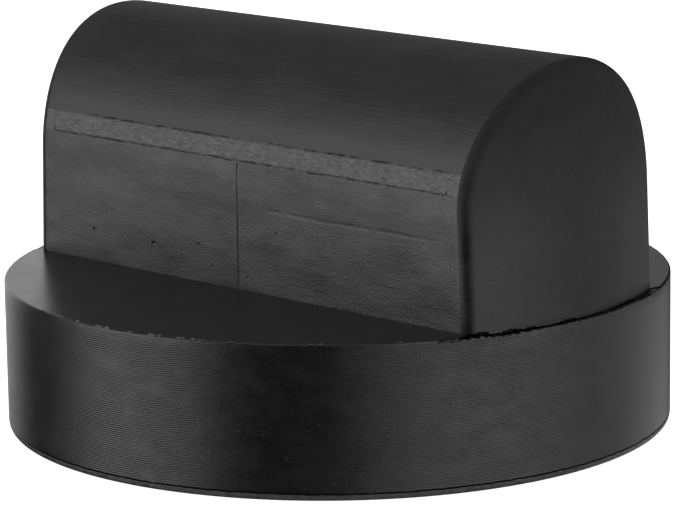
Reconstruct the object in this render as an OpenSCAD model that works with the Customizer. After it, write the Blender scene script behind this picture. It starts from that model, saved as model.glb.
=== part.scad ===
// Rubber jack pad: a round base disc with a round-nosed block moulded across it.
// Origin at the centre of the underside, +Z up, +X along the block.

/* [Base disc] */
// Diameter of the base disc
disc_d = 65; // [50:0.5:90]
// Thickness of the base disc
disc_h = 14.5; // [8:0.5:25]
// Radius on the top rim of the disc
rim_r = 0.3; // [0.1:0.1:1]

/* [Bottom lip] */
// Height of the lip below the parting seam
lip_h = 0.6; // [0.3:0.1:1.5]
// How far the lip draws in at the underside
lip_in = 0.35; // [0.1:0.05:1]
// Opening of the parting seam above the lip
seam_w = 0.16; // [0.1:0.02:0.4]
// Depth of the parting seam
seam_depth = 0.12; // [0.05:0.01:0.4]

/* [Block] */
// Width of the block across its two flanks
block_w = 26.2; // [16:0.2:40]
// Height of the upright flanks above the disc
flank_h = 10.6; // [4:0.2:25]
// Ledge between the rim and the foot of each end face
end_inset = 0.7; // [0.2:0.1:4]
// Draft of the end faces, in degrees
end_draft = 2; // [0:0.5:8]
// Radius rolled onto the edges of the end faces
edge_r = 1.6; // [0.4:0.1:3]

/* [Foot of the end faces] */
// Height of the open crevice under each end face
crevice_h = 0.2; // [0.1:0.05:0.5]
// How far the crevice is cut down into the disc
crevice_drop = 0.1; // [0.05:0.05:0.5]
// Depth of the crevice behind the end face
crevice_depth = 0.5; // [0.2:0.1:1.5]

/* [Trimmed flash band] */
// Height of the band's lower edge above the top of the flank
band_rise = 1.8; // [0.5:0.1:3]
// Height of the band
band_w = 2; // [1:0.1:3.5]
// How far the band stands proud of the nose
band_proud = 0.12; // [0.05:0.01:0.4]

/* [Mould join line] */
// Width of the join line at mid length of each flank
join_w = 0.16; // [0.1:0.02:0.5]
// Depth of the join line
join_depth = 0.1; // [0.05:0.01:0.3]
// Distance from the band's lower edge down to the join line
join_gap = 0.4; // [0.2:0.1:1.5]

/* [Hidden] */

rubber = [0.11, 0.11, 0.115];

disc_r = disc_d / 2;
// The nose is a half round as wide as the block
nose_r = block_w / 2;
nose_z = disc_h + flank_h;
total_h = nose_z + nose_r;
// The end faces follow the rim at this radius, then lean in with the draft
end_r = disc_r - end_inset;
// How deep the block's root is sunk into the disc
root = disc_h / 4;
// How far a cutting shape runs past the surface that it cuts
clear = 1;

// Angles of the flash band, seen from the axis of the nose
band_a0 = asin(band_rise / nose_r);
band_a1 = asin((band_rise + band_w) / nose_r);

disc_fn = 180;
nose_fn = 96;
roll_fn = 32;
rim_steps = 6;

// A circular arc as a list of points
function arc(centre, r, from, to, steps) = [
    for (i = [0 : steps])
        let (a = from + (to - from) * i / steps)
            centre + r * [cos(a), sin(a)]
];

// Half section of the disc: lip, seam, side and rounded rim
function disc_section() = concat(
    [
        [0, 0],
        [disc_r - lip_in, 0],
        [disc_r, lip_h],
        [disc_r - seam_depth, lip_h + seam_w / 2],
        [disc_r, lip_h + seam_w],
    ],
    arc([disc_r - rim_r, disc_h - rim_r], rim_r, 0, 90, rim_steps),
    [[0, disc_h]]
);

// Half section of the body that trims the block to length, drawn in by inset
function end_section(inset) = [
    [0, disc_h - root],
    [end_r - inset, disc_h - root],
    [end_r - inset, disc_h],
    [end_r - inset - total_h * tan(end_draft), disc_h + total_h],
    [0, disc_h + total_h],
];

module base_disc() {
    rotate_extrude($fn = disc_fn)
        polygon(disc_section());
}

// Lays a section drawn across the block along the whole disc
module along_block() {
    rotate([90, 0, 90])
        linear_extrude(disc_d, center = true)
            children();
}

// Cross-section of the block, drawn in by inset all round
module nose_section(inset) {
    nose_in = nose_r - inset;
    translate([-nose_in, disc_h - root])
        square([2 * nose_in, flank_h + root]);
    translate([0, nose_z])
        circle(r = nose_in, $fn = nose_fn);
}

module nose_bar(inset) {
    intersection() {
        along_block() nose_section(inset);
        rotate_extrude($fn = disc_fn)
            polygon(end_section(inset));
    }
}

// The bar is drawn in by the edge radius and grown back with a ball,
// which rolls the edges where the end faces meet the flanks and the nose.
// The ball would also round the root, so the root is cut off square.
module block() {
    intersection() {
        minkowski() {
            nose_bar(edge_r);
            sphere(r = edge_r, $fn = roll_fn);
        }
        translate([0, 0, disc_h - root])
            cylinder(r = disc_r, h = total_h, $fn = disc_fn);
    }
}

// One side of the flash band: a thin sector of ring just above the flank
module band_section() {
    reach = nose_r + band_proud;
    translate([0, nose_z])
        intersection() {
            circle(r = reach, $fn = nose_fn);
            polygon([
                [0, 0],
                2 * reach * [cos(band_a0), sin(band_a0)],
                2 * reach * [cos(band_a1), sin(band_a1)],
            ]);
        }
}

module flash_bands() {
    intersection() {
        along_block() {
            band_section();
            mirror([1, 0]) band_section();
        }
        rotate_extrude($fn = disc_fn)
            polygon(end_section(edge_r));
    }
}

// Narrow crevice left open under each end face, cut a little into the disc
module crevices() {
    slot_h = crevice_drop + crevice_h;
    intersection() {
        translate([0, 0, disc_h - crevice_drop])
            difference() {
                cylinder(r = disc_r + clear, h = slot_h, $fn = disc_fn);
                translate([0, 0, -clear])
                    cylinder(r = end_r - crevice_depth, h = slot_h + 2 * clear, $fn = disc_fn);
            }
        translate([-disc_r - clear, -nose_r, disc_h - clear])
            cube([disc_d + 2 * clear, block_w, slot_h + 2 * clear]);
    }
}

// Fine upright line at mid length, where the two mould inserts meet
module join_lines() {
    line_h = flank_h + band_rise - join_gap;
    for (side = [-1, 1])
        translate([-join_w / 2, side * nose_r - join_depth, disc_h])
            cube([join_w, 2 * join_depth, line_h]);
}

module jack_pad() {
    color(rubber)
        difference() {
            union() {
                base_disc();
                block();
                flash_bands();
            }
            crevices();
            join_lines();
        }
}

jack_pad();
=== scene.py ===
"""Dressed model of a moulded rubber jack pad: one black moulding on a pale studio floor."""

import math

import bmesh
import bpy
from mathutils import Matrix, Vector, noise


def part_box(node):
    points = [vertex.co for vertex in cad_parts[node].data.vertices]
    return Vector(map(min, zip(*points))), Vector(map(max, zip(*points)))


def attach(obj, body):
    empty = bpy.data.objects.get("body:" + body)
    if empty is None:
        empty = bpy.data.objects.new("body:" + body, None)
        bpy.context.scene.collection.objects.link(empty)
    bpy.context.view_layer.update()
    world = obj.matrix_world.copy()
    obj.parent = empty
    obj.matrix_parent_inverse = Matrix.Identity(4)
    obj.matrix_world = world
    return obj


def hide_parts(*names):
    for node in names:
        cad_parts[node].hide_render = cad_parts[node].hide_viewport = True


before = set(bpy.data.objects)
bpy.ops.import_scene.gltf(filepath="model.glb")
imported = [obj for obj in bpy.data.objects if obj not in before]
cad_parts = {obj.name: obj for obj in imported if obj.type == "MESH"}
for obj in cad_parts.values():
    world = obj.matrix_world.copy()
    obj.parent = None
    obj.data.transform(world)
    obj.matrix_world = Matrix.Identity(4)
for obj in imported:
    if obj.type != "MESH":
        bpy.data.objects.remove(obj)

bl_info = {
    "name": "Rubber Jack Pad",
    "version": (1, 0, 0),
    "blender": (4, 5, 0),
    "location": "View3D > Sidebar > Jack Pad",
    "description": "Models a moulded rubber jack pad and the studio it stands in",
    "category": "Object",
}

NODE = "jack_pad"
MM = 0.001
LOW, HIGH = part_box(NODE)
TAU = 2.0 * math.pi


# Settings

class PadSizes(bpy.types.PropertyGroup):
    """Sizes of the moulding"""

    disc_radius: bpy.props.FloatProperty(
        name="Disc radius", description="Radius of the base disc",
        default=min(-LOW[0], HIGH[0], -LOW[1], HIGH[1]), unit="LENGTH")
    disc_height: bpy.props.FloatProperty(
        name="Disc height", description="Thickness of the base disc", default=14.5 * MM, unit="LENGTH")
    total_height: bpy.props.FloatProperty(
        name="Total height", description="Height of the crest above the underside",
        default=HIGH[2] - LOW[2], unit="LENGTH")
    block_width: bpy.props.FloatProperty(
        name="Block width", description="Width of the block across its flanks",
        default=26.2 * MM, unit="LENGTH")
    end_inset: bpy.props.FloatProperty(
        name="End inset", description="Ledge between the rim and the foot of each end face",
        default=0.7 * MM, unit="LENGTH")
    end_draft: bpy.props.FloatProperty(
        name="End draft", description="Lean of the end faces",
        default=math.radians(2), subtype="ANGLE")
    edge_radius: bpy.props.FloatProperty(
        name="Edge radius", description="Radius rolled onto the edges of the end faces",
        default=1.6 * MM, unit="LENGTH")
    rim_radius: bpy.props.FloatProperty(
        name="Rim radius", description="Radius on the top rim of the disc",
        default=0.2 * MM, unit="LENGTH")
    lip_height: bpy.props.FloatProperty(
        name="Lip height", description="Height of the lip under the bottom seam",
        default=0.6 * MM, unit="LENGTH")
    lip_inset: bpy.props.FloatProperty(
        name="Lip inset", description="How far the lip draws in at the underside",
        default=0.35 * MM, unit="LENGTH")
    band_low: bpy.props.FloatProperty(
        name="Band foot", description="Angle round the nose of the flash band's lower edge",
        default=math.radians(8), subtype="ANGLE")
    band_high: bpy.props.FloatProperty(
        name="Band head", description="Angle round the nose of the flash band's upper edge",
        default=math.radians(17), subtype="ANGLE")
    join_place: bpy.props.FloatProperty(
        name="Join place", description="Place of the mould's join line along the block",
        default=-0.42 * MM, unit="LENGTH")


class PadColours(bpy.types.PropertyGroup):
    """Colours of the moulding and the floor"""

    rubber_tint: bpy.props.FloatVectorProperty(
        name="Rubber tint", description="Tint over the dark greys of the rubber",
        default=(1.0, 1.0, 1.02), subtype="COLOR")
    # The pale dust specks also stand as painted glints on the rubber.
    dust: bpy.props.FloatVectorProperty(
        name="Dust", description="Colour of the pale dust on the rubber",
        default=(0.09, 0.09, 0.088), subtype="COLOR")
    floor: bpy.props.FloatVectorProperty(
        name="Floor", description="Colour of the studio floor",
        default=(1.0, 1.0, 1.0), subtype="COLOR")


def sizes():
    return bpy.context.scene.jack_pad_sizes


def colours():
    return bpy.context.scene.jack_pad_colours


# Helpers for modelling by hand

def deselect():
    """Nothing is selected, and no object is in edit mode."""
    if bpy.context.object and bpy.context.object.mode != "OBJECT":
        bpy.ops.object.mode_set(mode="OBJECT")
    bpy.ops.object.select_all(action="DESELECT")


def activate(piece):
    deselect()
    piece.select_set(True)
    bpy.context.view_layer.objects.active = piece


def edit(piece, mode="FACE"):
    """Opens the piece in edit mode with nothing selected."""
    activate(piece)
    bpy.ops.object.mode_set(mode="EDIT")
    bpy.ops.mesh.select_mode(type=mode)
    bpy.ops.mesh.select_all(action="DESELECT")


def pick(piece, kind, test):
    """Selects the faces, edges or verts of the open mesh that pass the test."""
    shape = bmesh.from_edit_mesh(piece.data)
    for part in getattr(shape, kind):
        if test(part):
            part.select_set(True)
    shape.select_flush_mode()
    bmesh.update_edit_mesh(piece.data)


def along(edge):
    return edge.verts[1].co - edge.verts[0].co


def done(piece, name):
    """Ends the edit, puts the place into the mesh and names the piece."""
    activate(piece)
    bpy.ops.object.transform_apply(location=True, rotation=True, scale=True)
    piece.name = piece.data.name = name
    return piece


def merge(piece, distance):
    edit(piece, "VERT")
    bpy.ops.mesh.select_all(action="SELECT")
    bpy.ops.mesh.remove_doubles(threshold=distance)
    bpy.ops.mesh.normals_make_consistent(inside=False)
    deselect()


def cut(piece, other, operation):
    """Applies a boolean with another piece, which is used up."""
    activate(piece)
    step = piece.modifiers.new("cut", "BOOLEAN")
    step.operation = operation
    step.solver = "MANIFOLD"
    step.object = other
    bpy.ops.object.modifier_apply(modifier=step.name)
    bpy.data.objects.remove(other)


def move_points(piece, place):
    """Moves each point of the mesh to place(point)."""
    for vertex in piece.data.vertices:
        vertex.co = place(vertex.co)
    piece.data.update()


# The base disc

def disc_section(size):
    """Half section from the underside to the top, as (radius, height) pairs."""
    radius, height, rim = size.disc_radius, size.disc_height, size.rim_radius
    seam, depth = 0.16 * MM, 0.14 * MM
    points = [(radius - size.lip_inset, 0.0)]
    for step in range(1, 5):
        turn = math.pi / 2 * step / 4
        points.append((radius - size.lip_inset * (1 - math.sin(turn)),
                       size.lip_height * (1 - math.cos(turn))))
    points.append((radius - depth, size.lip_height + seam / 2))
    points.append((radius, size.lip_height + seam))
    side = size.lip_height + seam
    rows = 16
    for row in range(1, rows + 1):
        points.append((radius, side + (height - rim - side) * row / rows))
    for step in range(1, 6):
        turn = math.pi / 2 * step / 5
        points.append((radius - rim * (1 - math.cos(turn)), height - rim * (1 - math.sin(turn))))
    return points


def spin_section(points, steps):
    """Draws a section point by point and spins it round the upright axis."""
    bpy.ops.mesh.primitive_plane_add(size=MM, location=(points[0][0], 0, points[0][1]))
    piece = bpy.context.object
    done(piece, "section")
    bpy.ops.object.mode_set(mode="EDIT")
    bpy.ops.mesh.select_mode(type="VERT")
    bpy.ops.mesh.select_all(action="SELECT")
    bpy.ops.mesh.merge(type="CENTER")
    for before, after in zip(points, points[1:]):
        shift = (after[0] - before[0], 0, after[1] - before[1])
        bpy.ops.mesh.extrude_region_move(TRANSFORM_OT_translate={"value": shift})
    bpy.ops.mesh.select_all(action="SELECT")
    bpy.ops.mesh.spin(steps=steps, angle=TAU, center=(0, 0, 0), axis=(0, 0, 1))
    deselect()
    merge(piece, 1e-6)
    return piece


class OBJECT_OT_pad_disc(bpy.types.Operator):
    """Models the base disc"""

    bl_idname = "object.pad_disc"
    bl_label = "Base Disc"

    def execute(self, context):
        size = sizes()
        points = disc_section(size)
        disc = spin_section(points, 480)
        for height in (points[0][1], points[-1][1]):
            edit(disc, "EDGE")
            pick(disc, "edges", lambda e: e.is_boundary and all(abs(v.co.z - height) < 1e-6 for v in e.verts))
            bpy.ops.mesh.edge_face_add()
        merge(disc, 1e-7)
        move_points(disc, lambda co: seam_point(co, size))
        done(disc, "base_disc")
        return {"FINISHED"}


def seam_point(co, size):
    """A point of the disc, with the seam and the rim a little uneven."""
    radius = math.hypot(co.x, co.y)
    if radius < size.disc_radius * 0.9:
        return co
    out = Vector((co.x / radius, co.y / radius, 0.0))
    around = out * 60
    wave = noise.noise(around) + 0.5 * noise.noise(around * 3.1)
    near_seam = math.exp(-((co.z - size.lip_height) / (0.35 * MM)) ** 2)
    near_rim = math.exp(-((co.z - size.disc_height) / (0.3 * MM)) ** 2)
    lift = Vector((0, 0, 0.1 * MM * wave * near_seam))
    pull = out * (-0.05 * MM * abs(noise.noise(around * 2.3)) * near_rim)
    if co.z < 1e-6 or co.z > size.disc_height - 1e-6:
        lift = Vector()
    return co + lift + pull


# The round-nosed block

ROOT = 3.2 * MM


def block_section(size):
    """Half section of the block, from under its middle round the root and up to the crest, as (y, z)."""
    nose, roll = size.block_width / 2, size.edge_radius
    axis, root = size.total_height - nose, size.disc_height - ROOT
    points = [((nose - roll) * row / 16, root) for row in range(16)]
    for step in range(7):
        turn = math.pi / 2 * step / 6
        points.append((nose - roll + roll * math.sin(turn), root + roll * (1 - math.cos(turn))))
    foot = root + roll
    points += [(nose, foot + (axis - foot) * row / 26) for row in range(1, 26)]
    points += [(nose * math.cos(turn), axis + nose * math.sin(turn)) for turn in nose_turns(size)]
    return points


def outward(co, size):
    """Direction out of the block's section at one of its points."""
    nose, roll = size.block_width / 2, size.edge_radius
    axis, foot = size.total_height - nose, size.disc_height - ROOT + roll
    if co.z > axis:
        return Vector((0, co.y, co.z - axis)).normalized()
    if co.z > foot:
        return Vector((0, 1 if co.y > 0 else -1, 0))
    past = math.copysign(max(abs(co.y) - (nose - roll), 0.0), co.y)
    return Vector((0, past, co.z - foot)).normalized()


def nose_turns(size):
    """Angles of the rows over the nose, closer together along the two edges of the flash band."""
    step, fine, reach = math.radians(2), math.radians(0.3), math.radians(1.3)
    edges = (size.band_low, size.band_high)
    turns = [step * row for row in range(45)]
    turns = [turn for turn in turns if all(abs(turn - edge) > reach for edge in edges)]
    for edge in edges:
        turns += [edge + fine * row for row in range(-4, 5)]
    return sorted(turns) + [math.pi / 2]


# Stations along the straight bar: the plain length, then the rolled edge, then the end face
PLAIN, ROLL, CAP = 28 * MM, 1 * MM, 1 * MM
ROLL_STEPS, CAP_STEPS = 10, 12


def block_bar(size):
    """A straight bar of the block's section, with rings at every station."""
    half = block_section(size)
    outline = half + [(-y, z) for y, z in reversed(half[1:-1])]
    reach = PLAIN + ROLL + CAP
    bpy.ops.mesh.primitive_plane_add(size=MM, location=(-reach, outline[0][0], outline[0][1]))
    bar = done(bpy.context.object, "bar")
    bpy.ops.object.mode_set(mode="EDIT")
    bpy.ops.mesh.select_mode(type="VERT")
    bpy.ops.mesh.select_all(action="SELECT")
    bpy.ops.mesh.merge(type="CENTER")
    for before, after in zip(outline, outline[1:]):
        shift = (0, after[0] - before[0], after[1] - before[1])
        bpy.ops.mesh.extrude_region_move(TRANSFORM_OT_translate={"value": shift})
    bpy.ops.mesh.select_all(action="SELECT")
    bpy.ops.mesh.edge_face_add()
    caps, rolls = [CAP / CAP_STEPS] * CAP_STEPS, [ROLL / ROLL_STEPS] * ROLL_STEPS
    for length in caps + rolls + [2 * PLAIN] + rolls + caps:
        bpy.ops.mesh.extrude_region_move(TRANSFORM_OT_translate={"value": (length, 0, 0)})
    deselect()
    merge(bar, 1e-7)
    return bar


def end_radius(size, height):
    """Radius of the drafted round that the end faces follow."""
    return size.disc_radius - size.end_inset - (height - size.disc_height) * math.tan(size.end_draft)


def form_point(co, size):
    """Takes a point of the straight bar to the block: along it, round its rolled edge or over its end."""
    nose, roll = size.block_width / 2, size.edge_radius
    axis = size.total_height - nose
    over = outward(co, size)
    heart = co - over * roll
    reach = math.sqrt((end_radius(size, heart.z) - roll / math.cos(size.end_draft)) ** 2 - heart.y ** 2)
    side = 1 if co.x > 0 else -1
    station = abs(co.x)
    if station <= PLAIN + 1e-7:
        return Vector((side * reach * station / PLAIN, co.y, co.z))
    heart.x = side * reach
    level = math.cos(size.end_draft) / math.hypot(heart.x, heart.y)
    ahead = Vector((heart.x * level, heart.y * level, math.sin(size.end_draft)))
    angle = over.angle(ahead)
    share = min((station - PLAIN) / ROLL, 1.0)
    spread = over * math.sin((1 - share) * angle) + ahead * math.sin(share * angle)
    point = heart + spread * (roll / math.sin(angle))
    if station > PLAIN + ROLL + 1e-7:
        inward = 1 - 0.985 * (station - PLAIN - ROLL) / CAP
        middle = (size.disc_height + axis) / 2
        point.y *= inward
        point.z = middle + (point.z - middle) * inward
        point.x = side * math.sqrt(end_radius(size, point.z) ** 2 - point.y ** 2)
    return point


def slice_faces(piece, test, places, axis):
    """Cuts the faces that pass the test with flat planes across one axis."""
    normal = Vector((0, 0, 0))
    normal[axis] = 1
    for place in places:
        edit(piece, "FACE")
        pick(piece, "faces", test)
        bpy.ops.mesh.bisect(plane_co=normal * place, plane_no=normal, threshold=1e-7)
    deselect()


def rule_bar(bar, size):
    """Divides the plain length, so that fine marks have points to stand on."""
    for length, cuts in ((40 * MM, 2), (15 * MM, 86)):
        edit(bar, "EDGE")
        pick(bar, "edges", lambda e: abs(along(e).x) > length and e.verts[0].co.z > size.disc_height - MM)
        bpy.ops.mesh.subdivide(number_cuts=cuts)
    deselect()


def add_join_rows(bar, size):
    """Rows of points along the join line."""
    line, width = size.join_place, 0.2 * MM
    slice_faces(bar, lambda f: abs(f.calc_center_median().x - line) < MM,
                [line + width * step for step in (-0.75, -0.25, 0.25, 0.75)], 0)


# The faint crease in the near flank: where it starts and ends along the block, and its height, in millimetres
CREASE_FROM, CREASE_TO, CREASE_HEIGHT = 2.5, 26.5, 22.6


def add_crease_rows(bar, size):
    """Rows of points along the faint crease."""
    def beside(face):
        middle = face.calc_center_median() / MM
        level = abs(middle.z - CREASE_HEIGHT) < 0.8
        return level and middle.y < -12 and CREASE_FROM < middle.x < CREASE_TO
    slice_faces(bar, beside, [(CREASE_HEIGHT + 0.1 * step) * MM for step in range(-4, 5)], 2)


def crease_depth(co, size):
    """How far a point of the near flank is sunk by the crease."""
    x, z = co.x / MM, co.z / MM
    if co.y > -size.block_width / 2 + 0.01 * MM or not CREASE_FROM < x < CREASE_TO:
        return 0.0
    fade = smooth_step(CREASE_FROM, CREASE_FROM + 2.5, x) * (1 - smooth_step(CREASE_TO - 4, CREASE_TO, x))
    height = CREASE_HEIGHT + 0.14 * noise.noise(Vector((x * 0.13, 4.0, 0)))
    strength = 0.75 + 0.6 * noise.noise(Vector((x * 0.6, 8.0, 0)))
    return 0.055 * MM * fade * strength * max(1 - abs(z - height) / 0.25, 0.0)


def smooth_step(low, high, value):
    share = min(max((value - low) / (high - low), 0.0), 1.0)
    return share * share * (3 - 2 * share)


def block_point(co, size):
    """A point of the block, moved to raise the flash band and sink the lines of the mould."""
    nose = size.block_width / 2
    axis = size.total_height - nose
    rise = Vector((0, co.y, co.z - axis))
    turn = math.atan2(rise.z, abs(co.y))
    end = math.sqrt(end_radius(size, co.z) ** 2 - co.y ** 2) - size.edge_radius
    fade = 1 - smooth_step(end - 0.9 * MM, end - 0.3 * MM, abs(co.x))
    side = 1 if co.y > 0 else -1
    spot = Vector((co.x * 900, side * 7.3, 0.0))
    if fade > 0 and 0 < turn < 2 * size.band_high:
        out = rise.normalized()
        wander = math.radians(0.35) * fade
        lift = 0.0
        slide = 0.0
        for number, edge in enumerate((size.band_low, size.band_high)):
            gap = abs(turn - edge)
            ragged = noise.noise(spot + Vector((0, 0, 11.0 * number)))
            rough = noise.noise(spot * 2.7 + Vector((0, 0, 5.0 + 9.0 * number)))
            depth = 0.09 * MM * (0.7 + 1.1 * ragged + 1.5 * rough)
            if number == 1:
                depth *= smooth_step(-24 * MM, -20 * MM, co.x)
            else:
                lift += 0.035 * MM * max(1 - abs(turn - edge - math.radians(1.1)) / math.radians(0.7), 0.0)
            lift -= max(depth, 0.0) * max(1 - gap / math.radians(0.45), 0.0)
            near = max(1 - gap / math.radians(1.3), 0.0)
            slide += wander * near * (noise.noise(spot * 0.4 + Vector((3.1, 0, 4.0 * number))) + 0.6 * rough)
        inside = smooth_step(size.band_low, size.band_low + math.radians(0.6), turn)
        inside *= 1 - smooth_step(size.band_high - math.radians(0.6), size.band_high, turn)
        lift += 0.05 * MM * inside
        aside = Vector((0, -side * math.sin(turn), math.cos(turn)))
        co = co + out * (lift * fade) + aside * (slide * rise.length)
    if abs(co.x - size.join_place) < 0.07 * MM and turn < size.band_low - math.radians(1):
        broken = 0.8 + 0.9 * noise.noise(Vector((0, side * 3.3, co.z * 1500)))
        aside = 0.06 * MM * noise.noise(Vector((2.0, side * 3.3, co.z * 700)))
        co = co - Vector((aside, side * 0.11 * MM * max(broken, 0.1), 0))
    return co + Vector((0, crease_depth(co, size), 0))


PITS = (
    ("pit_a", -20.67, 17.57, 0.36),
    ("pit_b", -12.15, 17.3, 0.42),
    ("pit_c", -5.8, 18.1, 0.3),
    ("pit_d", 4.8, 20.5, 0.3),
    ("pit_e", -3.9, 16.2, 0.26),
    ("pit_f", 0.9, 15.8, 0.3),
)


def sink_pits(bar, size):
    """Small open bubbles in the near flank."""
    for name, x, z, radius in PITS:
        bpy.ops.mesh.primitive_ico_sphere_add(
            subdivisions=3, radius=radius * MM, scale=(1, 0.7, 0.85),
            location=(x * MM, -size.block_width / 2 - 0.1 * MM, z * MM))
        bubble = done(bpy.context.object, name)
        move_points(bubble, lambda co: co + Vector((0, 0, 0.05 * MM * noise.noise(co * 4000))))
        cut(bar, bubble, "DIFFERENCE")


class OBJECT_OT_pad_block(bpy.types.Operator):
    """Models the round-nosed block"""

    bl_idname = "object.pad_block"
    bl_label = "Round-nosed Block"

    def execute(self, context):
        size = sizes()
        bar = block_bar(size)
        rule_bar(bar, size)
        move_points(bar, lambda co: form_point(co, size))
        add_join_rows(bar, size)
        add_crease_rows(bar, size)
        move_points(bar, lambda co: block_point(co, size))
        sink_pits(bar, size)
        done(bar, "block")
        return {"FINISHED"}


# Where the torn parting line starts and ends, as angles round the disc from the middle of the end face
CREVICE_FROM, CREVICE_TO = math.radians(-30), math.radians(43)
# Its cutter's levels over the top of the disc, in millimetres: floor, roof and the top of the trimmed ledge
FLOOR, ROOF, LEDGE = -0.16, -0.11, 0.05


def crevice_cutter(size, side):
    """A ragged ring that opens the foot of one end face, trims the ledge and runs on along the rim."""
    wall = size.disc_radius - size.end_inset - 0.01 * MM
    inner, outer = wall - 0.45 * MM, size.disc_radius + MM
    low, high, top = (size.disc_height + level * MM for level in (FLOOR, ROOF, LEDGE))
    points = [(inner, low), (outer, low), (outer, top), (wall, top), (wall, high), (inner, high)]
    bpy.ops.mesh.primitive_plane_add(size=MM, location=(points[0][0], 0, points[0][1]))
    cutter = done(bpy.context.object, "crevice_cutter")
    bpy.ops.object.mode_set(mode="EDIT")
    bpy.ops.mesh.select_mode(type="VERT")
    bpy.ops.mesh.select_all(action="SELECT")
    bpy.ops.mesh.merge(type="CENTER")
    for before, after in zip(points, points[1:]):
        bpy.ops.mesh.extrude_region_move(
            TRANSFORM_OT_translate={"value": (after[0] - before[0], 0, after[1] - before[1])})
    bpy.ops.mesh.select_all(action="SELECT")
    bpy.ops.mesh.edge_face_add()
    bpy.ops.mesh.spin(steps=260, angle=CREVICE_TO - CREVICE_FROM, center=(0, 0, 0), axis=(0, 0, -1))
    deselect()
    merge(cutter, 1e-7)
    start = Matrix.Rotation(CREVICE_FROM, 3, "Z")
    turned = Matrix.Rotation(0.0 if side > 0 else math.pi, 3, "Z")
    move_points(cutter, lambda co: turned @ crevice_point(start @ co, size, side))
    return cutter


def crevice_point(co, size, side):
    """A point of the crevice's cutter: ragged, widest by the near corner, thin along the free rim."""
    turn, reach = math.atan2(co.y, co.x), math.hypot(co.x, co.y)
    out = Vector((co.x, co.y, 0)).normalized()
    corner = math.asin(size.block_width / 2 / (size.disc_radius - size.end_inset))
    free = smooth_step(corner - math.radians(1), corner + math.radians(2), abs(turn))
    rolled = smooth_step(corner - math.radians(3.5), corner - math.radians(0.5), -turn) * (1 - free)
    near = smooth_step(math.radians(-9), math.radians(-18), turn)
    far = smooth_step(math.radians(-5), math.radians(12), turn)
    spot = out * 32 + Vector((0, 0, side))
    ragged = noise.noise(spot * 1.3) + 0.7 * noise.noise(spot * 3.9)
    torn = noise.noise(spot * 2.1 + Vector((5, 5, 5))) + 0.6 * noise.noise(spot * 4.6)
    roof = ROOF + 0.14 * near + 0.05 * far + (0.13 + 0.17 * near) * ragged
    roof = roof * (1 - free) + (-0.06 + 0.05 * ragged) * free
    floor = FLOOR - 0.06 * near - 0.04 * free + 0.09 * far + (0.12 + 0.06 * near) * torn
    floor = min(floor, roof - 0.05)
    level = (co.z - size.disc_height) / MM
    if level < (FLOOR + ROOF) / 2:
        level = floor
    elif level < 0:
        level = roof
    else:
        level = max(LEDGE * (1 - free), roof + 0.03)
    if reach < size.disc_radius - 0.9 * size.end_inset:
        shift = -0.5 * rolled + (1.3 if level > roof else 0.85) * free
        co = co + out * (shift * MM)
    return Vector((co.x, co.y, size.disc_height + level * MM))


# Crumbs of flash on the top rim: angle round the disc, radius, length along the rim and height, in millimetres
CRUMBS = (
    (-162.4, 0.24, 1.2, 1.3), (-160.2, 0.45, 2.2, 0.72), (-104, 0.16, 2.6, 0.5), (-98.5, 0.2, 3.0, 0.6),
    (-93.5, 0.2, 1.4, 0.8), (-88.3, 0.22, 3.2, 0.5), (-86.4, 0.2, 1.6, 0.9), (-81.5, 0.15, 3.5, 0.6),
    (-77.2, 0.22, 2.8, 0.6), (-75.6, 0.2, 1.3, 1.0), (-71.8, 0.24, 2.2, 0.6), (-69.6, 0.2, 1.5, 0.9),
    (-68.2, 0.22, 2.6, 0.5), (-63, 0.14, 3.0, 0.6), (-50.2, 0.18, 2.0, 0.6), (-48.6, 0.16, 1.4, 0.8),
    (-36, 0.14, 2.0, 0.6),
)


def add_crumbs(pad, size):
    """Crumbs of flash left along the top rim."""
    for degrees, radius, length, height in CRUMBS:
        turn = math.radians(degrees)
        reach = size.disc_radius - 0.72 * radius * MM
        bpy.ops.mesh.primitive_ico_sphere_add(
            subdivisions=2, radius=radius * MM, scale=(0.6, length, height), rotation=(0, 0, turn),
            location=(reach * math.cos(turn), reach * math.sin(turn), size.disc_height - 0.02 * MM))
        crumb = done(bpy.context.object, "crumb")
        move_points(crumb, lambda co: co + 0.06 * MM * noise.noise_vector(co * 5000))
        cut(pad, crumb, "UNION")


def drop_flaps(piece):
    """Deletes the folded slivers that the cuts leave: faces on the same points, or with a free edge."""
    merge(piece, 1e-7)
    edit(piece, "FACE")
    shape = bmesh.from_edit_mesh(piece.data)
    twins = {}
    for face in shape.faces:
        twins.setdefault(frozenset(vertex.index for vertex in face.verts), []).append(face.index)
    doubled = {index for same in twins.values() if len(same) > 1 for index in same}
    pick(piece, "faces", lambda f: f.index in doubled or any(e.is_boundary for e in f.edges))
    bpy.ops.mesh.delete(type="FACE")
    deselect()


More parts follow.
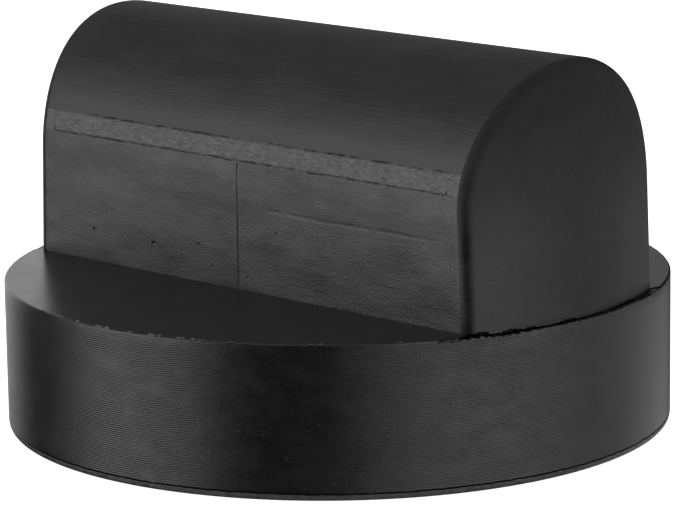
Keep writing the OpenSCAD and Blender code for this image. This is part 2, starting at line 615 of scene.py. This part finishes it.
def face_place(face, size):
    """The part of the moulding that a face belongs to."""
    middle = face.center
    nose = size.block_width / 2
    reach = math.hypot(middle.x, middle.y)
    level = middle.z - size.disc_height
    if level > 1e-5 and reach > size.disc_radius - 0.6 * MM:
        return "band"
    if abs(level) < 0.5 * MM and abs(level) > 1e-5 and reach > size.disc_radius - 2 * MM:
        inside = reach < size.disc_radius - size.end_inset - 0.05 * MM
        if face.normal.z < -0.3 or inside and level < 0:
            return "torn"
    if middle.z > 1e-6 and middle.z < size.lip_height:
        return "lip"
    if level < -1e-5:
        return "side" if face.normal.z < 0.9 and middle.z > 1e-6 else "top"
    if level < 1e-5:
        return "top"
    if abs(face.normal.x) > 0.12 and abs(middle.x) > 22 * MM:
        return "end"
    turn = math.atan2(middle.z - (size.total_height - nose), abs(middle.y))
    spot = Vector((middle.x * 1300, math.copysign(3.0, middle.y), 0.0))
    burr = noise.noise(spot) + 0.8 * noise.noise(spot * 2.9) + 0.1
    if turn < size.band_low - math.radians(1.6) * burr * smooth_step(-3 * MM, 6 * MM, middle.x):
        return "flank"
    return "band" if turn < size.band_high else "nose"


class OBJECT_OT_pad_join(bpy.types.Operator):
    """Joins disc and block into the one moulding"""

    bl_idname = "object.pad_join"
    bl_label = "One Moulding"

    def execute(self, context):
        size = sizes()
        pad = bpy.data.objects["base_disc"]
        cut(pad, bpy.data.objects["block"], "UNION")
        merge(pad, 1e-7)
        for side in (-1, 1):
            cut(pad, crevice_cutter(size, side), "DIFFERENCE")
        add_crumbs(pad, size)
        drop_flaps(pad)
        done(pad, "pad_moulding")
        places = list(FINISHES)
        pad.data.materials.clear()
        for place in places:
            pad.data.materials.append(FINISHES[place]())
        for face in pad.data.polygons:
            face.material_index = places.index(face_place(face, size))
        activate(pad)
        bpy.ops.object.shade_smooth_by_angle(angle=math.radians(35))
        step = pad.modifiers.new("even_shading", "WEIGHTED_NORMAL")
        step.keep_sharp = True
        bpy.ops.object.modifier_apply(modifier=step.name)
        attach(pad, "root")
        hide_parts(NODE)
        return {"FINISHED"}


# Finishes

def node(tree, kind, inputs=None, **settings):
    """Adds a shader node; inputs hold a value or another node's output for each socket."""
    made = tree.nodes.new("ShaderNode" + kind)
    for name, value in settings.items():
        setattr(made, name, value)
    for name, value in (inputs or {}).items():
        if isinstance(value, bpy.types.NodeSocket):
            tree.links.new(value, made.inputs[name])
        else:
            made.inputs[name].default_value = value
    return made


def math_node(tree, operation, first, second=0.0, clamp=False):
    return node(tree, "Math", {0: first, 1: second}, operation=operation, use_clamp=clamp).outputs[0]


def stretch(tree, value, low, high, to_low=0.0, to_high=1.0):
    """Maps a range of one value onto another, held at both ends."""
    made = node(tree, "MapRange", {0: value, 1: low, 2: high, 3: to_low, 4: to_high}, clamp=True)
    return made.outputs[0]


def new_group(name, given, outputs):
    """An empty node group with a vector input, more named inputs and named outputs."""
    tree = bpy.data.node_groups.new(name, "ShaderNodeTree")
    tree.interface.new_socket("Vector", in_out="INPUT", socket_type="NodeSocketVector")
    for label, value in given.items():
        kind = "NodeSocketVector" if isinstance(value, tuple) else "NodeSocketFloat"
        socket = tree.interface.new_socket(label, in_out="INPUT", socket_type=kind)
        socket.default_value = value
    for label in outputs:
        tree.interface.new_socket(label, in_out="OUTPUT", socket_type="NodeSocketFloat")
    return tree, tree.nodes.new("NodeGroupInput").outputs, tree.nodes.new("NodeGroupOutput").inputs


def stretched_noise(tree, place, scale, detail=2.0, roughness=0.55):
    """Noise with its own number of cells to a metre along each axis."""
    mapped = node(tree, "Mapping", {"Vector": place, "Scale": scale}).outputs[0]
    return node(tree, "TexNoise", {"Vector": mapped, "Scale": 1.0, "Detail": detail,
                                   "Roughness": roughness}).outputs[0]


def drawn_lines():
    """Fine parallel lines: noise that is long one way and short across."""
    tree, given, out = new_group("Drawn Lines", {"Lines": (60.0, 1500.0, 1500.0)}, ("Height",))
    wide = stretched_noise(tree, given["Vector"], given["Lines"])
    twice = node(tree, "VectorMath", {0: given["Lines"], "Scale": 2.6}, operation="SCALE").outputs[0]
    thin = stretched_noise(tree, given["Vector"], twice, 1.0, 0.5)
    tree.links.new(math_node(tree, "ADD", wide, thin), out["Height"])
    return tree


def turned_lines():
    """Level ridges, wavering and broken, as the mould's turning left them."""
    tree, given, out = new_group("Turned Lines", {"Pitch": 0.000206}, ("Height",))
    level = node(tree, "SeparateXYZ", {0: given["Vector"]}).outputs[2]
    drift = stretched_noise(tree, given["Vector"], (700, 700, 500))
    count = math_node(tree, "MULTIPLY", math_node(tree, "DIVIDE", level, given["Pitch"]), TAU)
    wave = math_node(tree, "SINE", math_node(tree, "ADD", count, math_node(tree, "MULTIPLY", drift, 3.0)))
    broken = stretch(tree, stretched_noise(tree, given["Vector"], (350, 350, 700)), 0.34, 0.62, 0.45, 1.0)
    across = node(tree, "VectorMath", {0: given["Vector"], 1: (0.7175, 0.6965, 0)}, operation="DOT_PRODUCT")
    kept = stretch(tree, across.outputs["Value"], 12 * MM, 25 * MM, 1.0, 0.1)
    middle = math_node(tree, "ABSOLUTE", math_node(tree, "ADD", across.outputs["Value"], 5 * MM))
    kept = math_node(tree, "MULTIPLY", kept, stretch(tree, middle, 4 * MM, 9 * MM, 0.3, 0.85))
    ridges = math_node(tree, "MULTIPLY", math_node(tree, "MULTIPLY", wave, broken), kept)
    tree.links.new(ridges, out["Height"])
    return tree


def skin():
    """The skin of moulded rubber: clouds, fine grain and pale dust specks, which also serve as painted glints.
    """
    tree, given, out = new_group("Rubber Skin", {"Clouds": (300.0, 300.0, 300.0)}, ("Cloud", "Grain", "Dust"))
    cloud = stretched_noise(tree, given["Vector"], given["Clouds"], 6.0, 0.75)
    grain = stretched_noise(tree, given["Vector"], (5200, 5200, 5200), 2.0, 0.6)
    cells = node(tree, "TexVoronoi", {"Vector": given["Vector"], "Scale": 900.0})
    tree.links.new(stretch(tree, cloud, 0.35, 0.65), out["Cloud"])
    tree.links.new(grain, out["Grain"])
    # Pale dust specks from the cells, also used as painted glints.
    tree.links.new(stretch(tree, cells.outputs["Distance"], 0.06, 0.1, 1.0, 0.0), out["Dust"])
    return tree


def group(name, make):
    return bpy.data.node_groups.get(name) or make()


def rubber(name, dark, pale, roughness, specular, lines, line_depth, clouds, grain_depth, dust,
           crest=(30, 37, 0.0)):
    """One finish of the same black rubber.

    lines and clouds hold how many there are to a metre along each axis of the piece; without lines
    the finish has the level ridges of the turned side. crest holds the heights in millimetres
    between which the surface grows rougher, and how much.
    """
    material = bpy.data.materials.new(name)
    material.use_nodes = True
    tree = material.node_tree
    shader = tree.nodes["Principled BSDF"]
    place = node(tree, "TexCoord").outputs["Object"]
    if lines:
        drawn = node(tree, "Group", node_tree=group("Drawn Lines", drawn_lines))
        drawn.inputs["Lines"].default_value = lines
    else:
        drawn = node(tree, "Group", node_tree=group("Turned Lines", turned_lines))
    tree.links.new(place, drawn.inputs["Vector"])
    look = node(tree, "Group", node_tree=group("Rubber Skin", skin))
    tree.links.new(place, look.inputs["Vector"])
    look.inputs["Clouds"].default_value = clouds
    tone = node(tree, "Mix", data_type="RGBA")
    tone.inputs[6].default_value = (*(dark * part for part in colours().rubber_tint), 1)
    tone.inputs[7].default_value = (*(pale * part for part in colours().rubber_tint), 1)
    tree.links.new(look.outputs["Cloud"], tone.inputs[0])
    # Pale dust specks mixed over the tone; they also stand as painted glints.
    dust_and_glint_mix = node(tree, "Mix", data_type="RGBA")
    dust_and_glint_mix.inputs[7].default_value = (*colours().dust, 1)
    tree.links.new(math_node(tree, "MULTIPLY", look.outputs["Dust"], dust), dust_and_glint_mix.inputs[0])
    tree.links.new(tone.outputs[2], dust_and_glint_mix.inputs[6])
    tree.links.new(dust_and_glint_mix.outputs[2], shader.inputs["Base Color"])
    height = node(tree, "SeparateXYZ", {0: place}).outputs[2]
    worn = stretch(tree, height, crest[0] * MM, crest[1] * MM, 0.0, crest[2])
    rough = stretch(tree, look.outputs["Cloud"], 0.0, 1.0, roughness - 0.02, roughness + 0.02)
    rough = math_node(tree, "ADD", rough, worn)
    tree.links.new(rough, shader.inputs["Roughness"])
    shader.inputs["Specular IOR Level"].default_value = specular
    strength = math_node(tree, "ADD", math_node(tree, "MULTIPLY", worn, 16.0), 1.0)
    ridges = math_node(tree, "MULTIPLY", drawn.outputs["Height"], strength)
    lined = node(tree, "Bump", {"Height": ridges, "Distance": line_depth})
    grained = node(tree, "Bump", {"Height": look.outputs["Grain"], "Distance": grain_depth,
                                  "Normal": lined.outputs[0]})
    tree.links.new(grained.outputs[0], shader.inputs["Normal"])
    return material


# In each finish the number after the grain depth is the share of pale dust specks, which also stand as painted
# glints.
FINISHES = {
    "side": lambda: rubber("Turned Side", 0.003, 0.01, 0.3, 0.48, None, 0.00002,
                           (260, 260, 500), 0.000014, 0.3),
    "top": lambda: rubber("Disc Top", 0.001, 0.004, 0.3, 0.22, (400, 400, 400), 0.00001,
                          (220, 220, 220), 0.000008, 0.2),
    "flank": lambda: rubber("Flank", 0.004, 0.056, 0.38, 0.48, (90, 900, 900), 0.00001,
                            (110, 300, 330), 0.00006, 0.4),
    "band": lambda: rubber("Trimmed Band", 0.015, 0.12, 0.5, 0.5, (500, 3500, 3500), 0.00005,
                           (1500, 4200, 4200), 0.00005, 0.6),
    "nose": lambda: rubber("Nose", 0.004, 0.018, 0.42, 0.4, (12, 1500, 1500), 0.00001,
                           (120, 300, 300), 0.00003, 0.3, (30, 37, 0.3)),
    "end": lambda: rubber("End Face", 0.003, 0.012, 0.38, 0.33, (700, 700, 500), 0.00001,
                          (200, 200, 260), 0.000025, 0.25, (22, 34, 0.35)),
    "lip": lambda: rubber("Trimmed Lip", 0.01, 0.06, 0.5, 0.5, (900, 900, 2400), 0.00003,
                          (1500, 1500, 2600), 0.00005, 0.8),
    "torn": lambda: rubber("Torn Edge", 0.004, 0.012, 0.8, 0.2, (900, 900, 900), 0.00002,
                           (900, 900, 900), 0.00003, 0.0),
}


# The studio

class OBJECT_OT_pad_stage(bpy.types.Operator):
    """Sets up the floor, the light and the camera"""

    bl_idname = "object.pad_stage"
    bl_label = "Stage"

    def execute(self, context):
        scene = context.scene
        scene.view_settings.view_transform = "Standard"
        bpy.ops.mesh.primitive_plane_add(size=6, location=(0, 0, -0.05 * MM))
        floor = bpy.context.object
        floor.name = "floor"
        floor.data.materials.append(floor_paint())
        for ray in ("glossy", "diffuse", "shadow"):
            setattr(floor, "visible_" + ray, False)
        scene.world = studio_light()
        add_camera(scene)
        return {"FINISHED"}


def floor_paint():
    """Pale floor, lit evenly; from below it lets the underside of the pad be seen."""
    paint = bpy.data.materials.new("Pale Floor")
    paint.use_nodes = True
    tree = paint.node_tree
    shader = tree.nodes["Principled BSDF"]
    shader.inputs["Base Color"].default_value = (*(0.9 * part for part in colours().floor), 1)
    shader.inputs["Emission Color"].default_value = (*colours().floor, 1)
    shader.inputs["Emission Strength"].default_value = 1.0
    below = node(tree, "NewGeometry").outputs["Backfacing"]
    clear = node(tree, "BsdfTransparent")
    both = node(tree, "MixShader", {0: below, 1: shader.outputs[0], 2: clear.outputs[0]})
    tree.links.new(both.outputs[0], tree.nodes["Material Output"].inputs["Surface"])
    return paint


# Soft panels round the pad: bearing to the right of the camera, half width, elevation, half height,
# soft edge, all in degrees, and brightness
PANELS = {
    "key on the left": (-72, 24, 8, 38, 11, 2.6),
    "side light on the left": (-96, 15, 20, 15, 16, 1.5),
    "fill on the right": (45, 28, 4, 32, 32, 2.4),
    "low fill on the right": (98, 28, 4, 32, 20, 0.7),
    "low light on the right": (142, 16, -27, 13, 14, 1.3),
    "glow from below": (0, 75, -62, 14, 14, 0.9),
    "backdrop": (200, 22, 4, 15, 14, 1.95),
    "high back": (180, 70, 42, 14, 20, 0.4),
    "overhead": (0, 180, 78, 22, 20, 0.8),
}


def studio_light():
    """A world of soft panels on a dark studio; the camera itself sees plain white."""
    world = bpy.data.worlds.new("studio")
    world.use_nodes = True
    tree = world.node_tree
    tree.nodes.clear()
    look = node(tree, "TexCoord").outputs["Generated"]
    parts = node(tree, "SeparateXYZ", {0: look})
    bearing = math_node(tree, "ARCTAN2", parts.outputs[1], parts.outputs[0])
    height = math_node(tree, "ARCSINE", parts.outputs[2])
    total = None
    for turn, half, lift, tall, soft, strength in PANELS.values():
        centre = math.radians(turn - 90 + CAMERA_BEARING)
        aside = math_node(tree, "SUBTRACT", bearing, centre)
        aside = math_node(tree, "PINGPONG", math_node(tree, "ABSOLUTE", aside), math.pi)
        above = math_node(tree, "ABSOLUTE", math_node(tree, "SUBTRACT", height, math.radians(lift)))
        edge = math.radians(soft) / 2
        half, tall = math.radians(half), math.radians(tall)
        wide = stretch(tree, aside, half - edge, half + edge, 1.0, 0.0)
        high = stretch(tree, above, tall - edge, tall + edge, 1.0, 0.0)
        glow = math_node(tree, "MULTIPLY", math_node(tree, "MULTIPLY", wide, high), strength)
        total = glow if total is None else math_node(tree, "ADD", total, glow)
    total = math_node(tree, "ADD", total, 0.03)
    lit = node(tree, "Background", {"Strength": total})
    plain = node(tree, "Background", {"Color": (1, 1, 1, 1), "Strength": 1.0})
    seen = node(tree, "LightPath").outputs["Is Camera Ray"]
    both = node(tree, "MixShader", {0: seen, 1: lit.outputs[0], 2: plain.outputs[0]})
    out = node(tree, "OutputWorld")
    tree.links.new(both.outputs[0], out.inputs["Surface"])
    return world


CAMERA_BEARING = 44.15


def add_camera(scene):
    azimuth, elevation, roll = math.radians(CAMERA_BEARING), math.radians(12.07), math.radians(-0.85)
    distance, lens = 351.7 * MM, 190.7
    back = Vector((math.sin(azimuth) * math.cos(elevation), -math.cos(azimuth) * math.cos(elevation),
                   math.sin(elevation)))
    right = Vector((math.cos(azimuth), math.sin(azimuth), 0))
    up = back.cross(right)
    aim = right * 0.231 * MM + Vector((0, 0, 15.97 * MM))
    side = right * math.cos(roll) + up * math.sin(roll)
    top = up * math.cos(roll) - right * math.sin(roll)
    data = bpy.data.cameras.new("photo_camera")
    data.lens = lens
    data.sensor_width = 36
    camera = bpy.data.objects.new("photo_camera", data)
    bpy.context.collection.objects.link(camera)
    turn = Matrix((side, top, back)).transposed().to_4x4()
    camera.matrix_world = Matrix.Translation(aim + back * distance) @ turn
    scene.camera = camera


class VIEW3D_PT_jack_pad(bpy.types.Panel):
    """Lists the steps that make the jack pad"""

    bl_label = "Jack Pad"
    bl_idname = "VIEW3D_PT_jack_pad"
    bl_space_type = "VIEW_3D"
    bl_region_type = "UI"
    bl_category = "Jack Pad"

    def draw(self, context):
        for step in STEPS:
            self.layout.operator(step.bl_idname)


STEPS = (OBJECT_OT_pad_disc, OBJECT_OT_pad_block, OBJECT_OT_pad_join, OBJECT_OT_pad_stage)
CLASSES = (PadSizes, PadColours, *STEPS, VIEW3D_PT_jack_pad)


def register():
    for cls in CLASSES:
        bpy.utils.register_class(cls)
    bpy.types.Scene.jack_pad_sizes = bpy.props.PointerProperty(type=PadSizes)
    bpy.types.Scene.jack_pad_colours = bpy.props.PointerProperty(type=PadColours)


def unregister():
    del bpy.types.Scene.jack_pad_colours
    del bpy.types.Scene.jack_pad_sizes
    for cls in reversed(CLASSES):
        bpy.utils.unregister_class(cls)


def main():
    register()
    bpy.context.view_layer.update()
    bpy.ops.object.pad_disc()
    bpy.ops.object.pad_block()
    bpy.ops.object.pad_join()
    bpy.ops.object.pad_stage()


if __name__ == "__main__":
    main()
